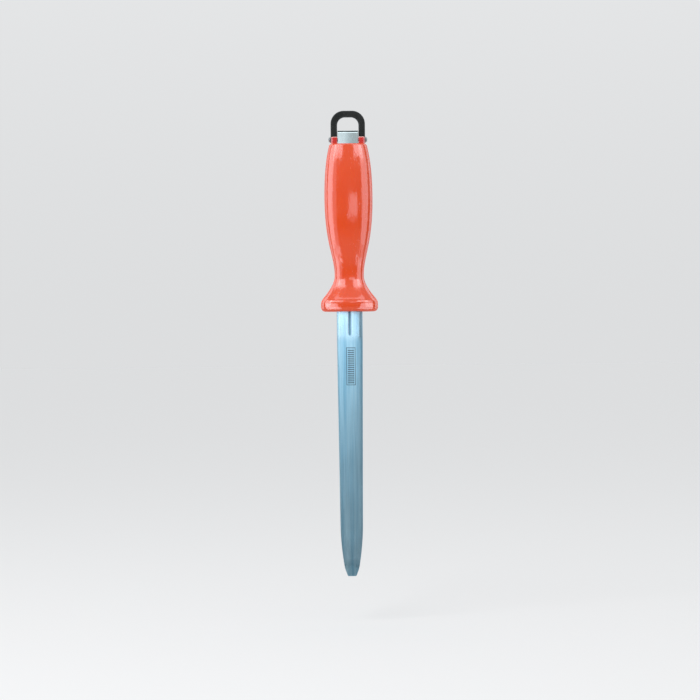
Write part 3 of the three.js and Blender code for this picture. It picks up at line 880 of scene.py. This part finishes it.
def ear_tool(side, hand):
    """One ear: a rounded lip beside a foot of the bail, whose outer side follows the butt's outline."""
    inner_x = block_high[0] + GAP
    half_x = BUTT_SIZE[0] / 2 - BUTT_EDGE / 2
    half_y = BUTT_SIZE[1] / 2 - BUTT_EDGE / 2
    near, far = EAR_INNER_FACE, EAR_INNER_FACE + EAR_THICKNESS
    outer = []
    for y in (near, (near + far) / 2, far):
        outer.append((half_x * (1 - (y / half_y) ** HANDLE_POWER) ** (1 / HANDLE_POWER), y))
    plan = [(inner_x, far), (inner_x, near), *outer]
    bottom = BUTT - BUTT_WALL / 2
    bm = loft([[Vector((hand * x, side * y, z)) for x, y in plan] for z in (bottom, EAR_TOP)])
    round_edges(bm, EAR_EDGE, 4)
    return bm


def make_handle_shell(name, side, node_name, material):
    shell = add_object(name, loft([half_ring(s, side) for s in handle_sections()]))
    combine(shell, cavity_tool(), "DIFFERENCE")
    combine(shell, block_hole_tool(), "DIFFERENCE")
    combine(shell, rod_hole_tool(), "DIFFERENCE")
    for hand in (-1, 1):
        combine(shell, ear_tool(side, hand), "UNION")
    shade(shell, 38)
    finish_piece(shell, "steel", material, "handle_red", node_name)


# ---------------------------------------------------------------- rod


def rod_rows():
    """The rod's rows, shoulder to tip, as (half width, half thickness, z, power, ridge share)."""
    half_x, half_y = ROD_SIZE[0] / 2, ROD_SIZE[1] / 2
    rows = []

    def straight(top, bottom, pitch):
        count = max(1, round((top - bottom) / pitch))
        for i in range(count):
            z = mix(top, bottom, i / count)
            width = half_x
            if z < COLLAR_END:
                width = mix(half_x, ROD_END_WIDTH / 2, (COLLAR_END - z) / (COLLAR_END - POINT_START))
            ridge = smooth_step((COLLAR_END - z) / RIDGE_RUNOUT)
            rows.append((width, half_y, z, ROD_POWER, ridge))

    groove_zone = COLLAR_END + 2.5 * MM
    straight(SHOULDER, groove_zone, 1.5 * MM)
    straight(groove_zone, COLLAR_END - RIDGE_RUNOUT, 0.12 * MM)
    straight(COLLAR_END - RIDGE_RUNOUT, POINT_START, 6 * MM)

    middle = mix(BEVEL_SIZE[0], ROD_END_WIDTH, POINT_SWELL) / 2
    start = (ROD_END_WIDTH / 2, half_y, POINT_START)
    turn = (middle, half_y, (POINT_START + BEVEL_START) / 2)
    end = (BEVEL_SIZE[0] / 2, BEVEL_SIZE[1] / 2, BEVEL_START)
    for x, y, z in bezier([start, turn, end], 30):
        ridge = smooth_step((z - BEVEL_START) / RIDGE_RUNOUT)
        rows.append((x, y, z, ROD_POWER, ridge))
    for share in (0.03, 0.12, 0.25, 0.4, 0.55, 0.7, 0.85, 0.95):
        x = mix(BEVEL_SIZE[0], TIP_SIZE[0], share ** 1.35) / 2
        y = mix(BEVEL_SIZE[1], TIP_SIZE[1], share) / 2
        power = mix(ROD_POWER, BEVEL_POWER, smooth_step(share * 4))
        rows.append((x, y, mix(BEVEL_START, TIP, share), power, 0))
    for turn in turn_angles(4)[1:]:
        inset = TIP_EDGE * (1 - math.cos(turn))
        z = TIP + TIP_EDGE * (1 - math.sin(turn))
        rows.append((TIP_SIZE[0] / 2 - inset, TIP_SIZE[1] / 2 - inset, z, BEVEL_POWER, 0))
    return rows


def even_angles(half_x, half_y, power, count):
    """Angles whose points lie evenly spaced round a superellipse."""
    samples = 4000
    lengths, previous = [0.0], None
    for i in range(samples + 1):
        ux, uy = unit_superellipse(2 * math.pi * i / samples, power)
        point = (half_x * ux, half_y * uy)
        if previous:
            lengths.append(lengths[-1] + math.dist(previous, point))
        previous = point
    angles, i = [], 0
    for k in range(count):
        wanted = lengths[-1] * k / count
        while lengths[i + 1] < wanted:
            i += 1
        share = (wanted - lengths[i]) / (lengths[i + 1] - lengths[i])
        angles.append(2 * math.pi * (i + share) / samples)
    return angles


def groove_drop(x, z):
    """How deep the collar's groove is at a place on a face."""
    away = math.hypot(x, min(0, z - GROOVE_CENTRE))
    return GROOVE_DEPTH * smooth_step((GROOVE_WIDTH / 2 - away) / GROOVE_SLOPE)


def rod_ring(row, angles):
    half_x, half_y, z, power, ridge = row
    ring = []
    for k, angle in enumerate(angles):
        ux, uy = unit_superellipse(angle, power)
        slope_x = math.copysign(abs(ux) ** (power - 1) / half_x, ux)
        slope_y = math.copysign(abs(uy) ** (power - 1) / half_y, uy)
        steepness = math.hypot(slope_x, slope_y)
        depth = ridge * RIDGE_DEPTH * (0, 0.5, 1, 0.5)[k % 4]
        x = half_x * ux - depth * slope_x / steepness
        y = half_y * uy - depth * slope_y / steepness
        drop = groove_drop(x, z) if z > COLLAR_END else 0
        ring.append(Vector((x, y - math.copysign(drop, y), z)))
    return ring


def make_rod(material):
    angles = even_angles(ROD_SIZE[0] / 2, ROD_SIZE[1] / 2, ROD_POWER, 4 * RIDGES)
    rod = add_object("ridged_rod", loft([rod_ring(row, angles) for row in rod_rows()]))
    half_x, half_y = TANG_SIZE[0] / 2, TANG_SIZE[1] / 2
    tang = rounded_box((-half_x, -half_y, SHOULDER - MM), (half_x, half_y, THREAD_START), TANG_EDGE, 3)
    combine(rod, tang, "UNION")
    levels = ((THREAD_START - MM, 0), (THREAD_TOP - THREAD_CHAMFER, 0), (THREAD_TOP, THREAD_CHAMFER))
    round_end = []
    for z, inset in levels:
        radius = THREAD_RADIUS - inset
        round_end.append(full_ring(radius, radius, z, 2, 48))
    combine(rod, loft(round_end), "UNION")
    combine(rod, pin_hole_tool(), "DIFFERENCE")
    shade(rod, 48)
    finish_piece(rod, "steel", material, "rod_steel", "sharpening_rod")


# ---------------------------------------------------------------- block


def pin_hole_tool():
    reach, radius = bail_high[0] + MM, PIN_HOLE_RADIUS
    return lathe_x([(-reach, 0), (-reach, radius), (reach, radius), (reach, 0)], 48)


def make_block(material):
    half_x, half_y = block_high[0], block_high[1]
    bottom, top = block_low[2], block_high[2]
    depth, height = BLOCK_CHAMFER
    profile = [
        (-half_y, bottom),
        (half_y, bottom),
        (half_y, top - height),
        (half_y - depth, top),
        (-half_y + depth, top),
        (-half_y, top - height),
    ]
    bm = loft([[Vector((x, y, z)) for y, z in profile] for x in (-half_x, half_x)])
    round_edges(bm, BLOCK_EDGE, 4)
    block = add_object("chrome_block", bm)
    thread_radius = THREAD_RADIUS + GAP
    bore = [full_ring(thread_radius, thread_radius, z, 2, 48) for z in (bottom - MM, THREAD_TOP + GAP)]
    combine(block, loft(bore), "DIFFERENCE")
    combine(block, pin_hole_tool(), "DIFFERENCE")
    shade(block, 35)
    finish_piece(block, "steel", material, "block_chrome", "end_block")


# ---------------------------------------------------------------- bail


def bar_ring(inner, outer, half_depth, inner_edge, outer_edge):
    """One section of the bail: a rounded rectangle from its inner side to its outer side."""
    middle = (inner + outer) / 2
    along = (outer - inner).normalized()
    half_width = (outer - inner).length / 2
    ring = []
    for quarter, (sw, sd) in enumerate(((1, 1), (-1, 1), (-1, -1), (1, -1))):
        edge = outer_edge if sw > 0 else inner_edge
        edge_x = min(edge, half_width * 0.95)
        edge_y = min(edge, half_depth * 0.95)
        turns = turn_angles(5)
        if quarter % 2:
            turns = turns[::-1]
        for turn in turns:
            w = sw * (half_width - edge_x * (1 - math.cos(turn)))
            d = sd * (half_depth - edge_y * (1 - math.sin(turn)))
            ring.append(middle + along * w + Vector((0, d, 0)))
    return ring


def make_bail(material):
    outer_x = bail_high[0]
    inner_x = outer_x - BAIL_ARM_WIDTH
    half_depth = bail_high[1]
    outer_top = bail_high[2]
    inner_top = outer_top - BAIL_ARCH
    outer_centre = Vector((outer_x - BAIL_OUTER_CORNER, 0, outer_top - BAIL_OUTER_CORNER))
    inner_centre = Vector((inner_x - BAIL_INNER_CORNER, 0, inner_top - BAIL_INNER_CORNER))
    stations = []
    for turn in reversed(turn_angles(9)):
        z = PIN_LEVEL - half_depth * math.sin(turn) * 0.995
        depth = max(half_depth * math.cos(turn), 0.12 * MM)
        stations.append((Vector((inner_x, 0, z)), Vector((outer_x, 0, z)), depth, BAIL_EDGE))
    arm_top_inner, arm_top_outer = inner_centre.z, outer_centre.z
    for share in (0.25, 0.5, 0.75):
        inner = Vector((inner_x, 0, mix(PIN_LEVEL, arm_top_inner, share)))
        outer = Vector((outer_x, 0, mix(PIN_LEVEL, arm_top_outer, share)))
        edge = mix(BAIL_EDGE, BAIL_WORN_EDGE, smooth_step(share * 1.2 - 0.5))
        stations.append((inner, outer, half_depth, edge))
    for turn in turn_angles(16):
        way = Vector((math.cos(turn), 0, math.sin(turn)))
        inner = inner_centre + way * BAIL_INNER_CORNER
        outer = outer_centre + way * BAIL_OUTER_CORNER
        edge = mix(mix(BAIL_EDGE, BAIL_WORN_EDGE, 0.6), BAIL_WORN_EDGE, smooth_step(turn))
        stations.append((inner, outer, half_depth, edge))
    rings = [bar_ring(i, o, depth, edge, BAIL_EDGE) for i, o, depth, edge in stations]
    mirrored = [[Vector((-p.x, p.y, p.z)) for p in ring] for ring in reversed(rings)]
    bail = add_object("hanging_bail", loft(rings + mirrored))
    combine(bail, pin_hole_tool(), "DIFFERENCE")
    shade(bail, 40)
    finish_piece(bail, "hanger", material, "black_bail", "bail")


# ---------------------------------------------------------------- pin and washers


def make_pin(material):
    head_inner = pin_high[0] - PIN_HEAD_HEIGHT
    dome = []
    for turn in turn_angles(8)[:-1]:
        x = head_inner + PIN_HEAD_HEIGHT * (0.25 + 0.75 * math.sin(turn))
        dome.append((x, PIN_HEAD_RADIUS * math.cos(turn)))
    right = [(head_inner, PIN_RADIUS), (head_inner, PIN_HEAD_RADIUS), *dome]
    left = [(-x, radius) for x, radius in reversed(right)]
    pin = add_object("headed_pin", lathe_x([(-pin_high[0], 0), *left, *right, (pin_high[0], 0)], 48))
    shade(pin, 40)
    finish_piece(pin, "steel", material, "plain_steel", "bail_pin")


def make_washer(name, hand, node_name, material):
    """A thin ring with softened rims, turned about the pin's axis."""
    inner, outer = washer_low[0], washer_high[0]
    radius = (washer_high[2] - washer_low[2]) / 2
    rim = 0.12 * MM
    section = [(inner, PIN_HOLE_RADIUS), (inner, radius - rim), (inner + rim, radius)]
    section += [(outer - rim, radius), (outer, radius - rim), (outer, PIN_HOLE_RADIUS)]
    bm = bmesh.new()
    rows = []
    for i in range(48):
        angle = 2 * math.pi * i / 48
        c, s = math.cos(angle), math.sin(angle)
        rows.append([bm.verts.new((hand * x, r * c, PIN_LEVEL + r * s)) for x, r in section])
    for row, following in zip(rows, rows[1:] + rows[:1]):
        for k in range(len(section)):
            j = (k + 1) % len(section)
            bm.faces.new((row[k], row[j], following[j], following[k]))
    bmesh.ops.recalc_face_normals(bm, faces=bm.faces)
    washer = add_object(name, bm)
    shade(washer, 30)
    finish_piece(washer, "steel", material, "plain_steel", node_name)


# ---------------------------------------------------------------- stage: floor, light, backdrop

FLOOR_BELOW_TIP = 36 * MM
FLOOR_SPAN = 60
PALE = (0.86, 0.87, 0.88)
COOL_WHITE = (0.86, 0.92, 1.0)
AMBIENT = 0.84  # the studio's brightness as matt surfaces see it

# The studio that polished surfaces see, from straight down to straight up, as (share, grey)
STUDIO_TONES = ((0.0, 0.55), (0.36, 0.46), (0.46, 0.16), (0.51, 0.24), (0.70, 0.45), (1.0, 0.75))
STUDIO_TINT = (0.94, 1.0, 1.05)


def make_floor():
    bm = bmesh.new()
    bmesh.ops.create_grid(bm, x_segments=1, y_segments=1, size=FLOOR_SPAN / 2)
    floor = add_object("floor", bm)
    floor.location.z = TIP - FLOOR_BELOW_TIP
    material = bpy.data.materials.new("pale_floor")
    material.use_nodes = True
    shader = material.node_tree.nodes["Principled BSDF"]
    shader.inputs["Base Color"].default_value = (*PALE, 1)
    shader.inputs["Roughness"].default_value = 0.9
    shader.inputs["Specular IOR Level"].default_value = 0.0
    floor.data.materials.append(material)
    floor.visible_glossy = False


def add_panel(name, aim, azimuth, elevation, distance, span, brightness, receivers):
    """A soft light panel that only reflections see.

    It faces the point aim from an azimuth off the front and an elevation, and spans (wide, high)
    degrees as seen from there. It lights only the pieces in receivers.
    """
    width, height = (2 * distance * math.tan(math.radians(angle) / 2) for angle in span)
    light = bpy.data.lights.new(name, "AREA")
    light.shape = "RECTANGLE"
    light.size, light.size_y = width, height
    light.energy = brightness * width * height * math.pi
    light.color = COOL_WHITE
    panel = bpy.data.objects.new(name, light)
    turn, rise = math.radians(azimuth), math.radians(elevation)
    way = Vector((math.sin(turn) * math.cos(rise), -math.cos(turn) * math.cos(rise), math.sin(rise)))
    panel.location = aim + way * distance
    panel.rotation_euler = (-way).to_track_quat("-Z", "Y").to_euler()
    panel.visible_camera = False
    panel.visible_diffuse = False
    panel.light_linking.receiver_collection = receivers
    bpy.context.scene.collection.objects.link(panel)


def lit_group(name, *pieces):
    """The pieces that a panel lights."""
    group = bpy.data.collections.new(name)
    for piece in pieces:
        group.objects.link(bpy.data.objects[piece])
    return group


def make_lights():
    belly = Vector((0, 0, BUTT - BELLY_DROP))
    guard = Vector((0, 0, GUARD_FACE))
    block_heart = (block_low + block_high) / 2
    handle = lit_group("lit_handle", "front_handle", "back_handle")
    top = lit_group("lit_top", "hanging_bail", "headed_pin", "left_washer", "right_washer")
    rod = lit_group("lit_rod", "ridged_rod")
    block = lit_group("lit_block", "chrome_block")

    # name, aim, azimuth, elevation, distance, span, brightness, receivers
    add_panel("handle_left", belly, -80, 12, 1.5, (44, 56), 2.9, handle)
    add_panel("handle_left_soft", belly, -47, 12, 1.5, (22, 56), 0.75, handle)
    add_panel("handle_left_low", belly, -50, -28, 1.5, (34, 24), 2.0, handle)
    add_panel("handle_right", belly, 66, 12, 1.5, (48, 56), 1.8, handle)
    add_panel("handle_patch", belly, 11, -1, 0.2, (21, 11), 1.6, handle)
    add_panel("handle_rear", belly, 165, 4, 1.9, (24, 16), 0.6, handle)
    add_panel("handle_top", belly, 0, 82, 1.2, (60, 40), 1.5, handle)
    for hand in (-1, 1):
        add_panel("handle_neck", belly, hand * 40, 31, 1.5, (48, 24), 2.9, handle)
        add_panel("guard_rim", guard, hand * 55, -19, 0.08, (64, 60), 2.6, handle)
        add_panel("handle_rear_side", belly, hand * 128, 10, 1.8, (28, 60), 1.5, handle)
        add_panel("top_side", Vector(), hand * 60, 15, 1.2, (40, 60), 1.0, top)
        add_panel("rod_rear_side", guard, hand * 125, 10, 0.9, (40, 50), 0.9, rod)

    add_panel("rod_left", guard, -62, 14, 0.6, (50, 40), 1.6, rod)
    add_panel("rod_front", guard + Vector((0, 0, 60 * MM)), -6, 12, 0.4, (72, 50), 2.1, rod)
    add_panel("rod_right", guard, 64, 18, 0.6, (36, 34), 1.0, rod)
    add_panel("rod_rear", guard, 180, 10, 0.7, (60, 50), 1.2, rod)

    add_panel("block_left", block_heart, -22, 8, 0.12, (43, 50), 0.55, block)
    add_panel("block_front", block_heart, 0, 8, 1.0, (70, 50), 0.18, block)
    add_panel("block_rear", block_heart, 180, 10, 1.0, (60, 50), 0.8, block)
    add_panel("block_top", block_heart, 0, 70, 1.0, (80, 80), 1.3, block)
    add_panel("top_front", Vector(), 0, 20, 1.0, (60, 30), 0.25, top)
    add_panel("top_rear", Vector(), 180, 10, 1.0, (60, 50), 0.8, top)


def make_key():
    """A broad soft light from above the front left, which shapes the plastic and the floor's shadow."""
    light = bpy.data.lights.new("key_light", "AREA")
    light.size = 1.2
    light.energy = 12
    key = bpy.data.objects.new("key_light", light)
    key.location = (-0.9, -1.3, 1.1)
    aim = Vector((0, 0, GUARD_FACE)) - Vector(key.location)
    key.rotation_euler = aim.to_track_quat("-Z", "Y").to_euler()
    key.visible_camera = False
    key.visible_glossy = False
    bpy.context.scene.collection.objects.link(key)


def make_world():
    """Pale to the camera and to matt surfaces; polished ones see a dimmer studio, darker lower down."""
    world = bpy.data.worlds.new("studio")
    bpy.context.scene.world = world
    world.use_nodes = True
    tree = world.node_tree
    background = tree.nodes["Background"]
    path = node(tree, "ShaderNodeLightPath")
    height = split(tree, node(tree, "ShaderNodeTexCoord").outputs["Generated"])["Z"]
    ramp = node(tree, "ShaderNodeValToRGB")
    tree.links.new(map_range(tree, height, -1.0, 1.0, 0.0, 1.0), ramp.inputs[0])
    elements = ramp.color_ramp.elements
    elements[0].position, elements[1].position = STUDIO_TONES[0][0], STUDIO_TONES[-1][0]
    for share, _ in STUDIO_TONES[1:-1]:
        elements.new(share)
    for element, (share, grey) in zip(elements, STUDIO_TONES):
        element.color = (*[grey * tint for tint in STUDIO_TINT], 1)
    far_floor = tuple(AMBIENT * tone for tone in PALE)
    above = map_range(tree, height, 0.0, 0.35, 0.0, 1.0, smooth=True)
    sky = mix_colour(tree, above, far_floor, PALE)
    colour = mix_colour(tree, path.outputs["Is Glossy Ray"], (AMBIENT,) * 3, ramp.outputs[0])
    colour = mix_colour(tree, path.outputs["Is Camera Ray"], colour, sky)
    tree.links.new(colour, background.inputs["Color"])


# ---------------------------------------------------------------- making it all

handle_red = make_handle_red()
rod_steel = make_rod_steel()
block_chrome = make_block_chrome()
bail_black = make_bail_black()
plain_steel = make_plain_steel()

make_handle_shell("front_handle", -1, "handle_front_shell", handle_red)
make_handle_shell("back_handle", 1, "handle_back_shell", handle_red)
make_rod(rod_steel)
make_block(block_chrome)
make_bail(bail_black)
make_pin(plain_steel)
make_washer("left_washer", -1, "pin_washer_left", plain_steel)
make_washer("right_washer", 1, "pin_washer_right", plain_steel)
for inner_plate in ("shoulder_plate", "end_plate"):
    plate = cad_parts[inner_plate]
    plate.material_slots[0].material = plain_steel

make_floor()
make_lights()
make_key()
make_world()
bpy.context.scene.view_settings.view_transform = "Standard"
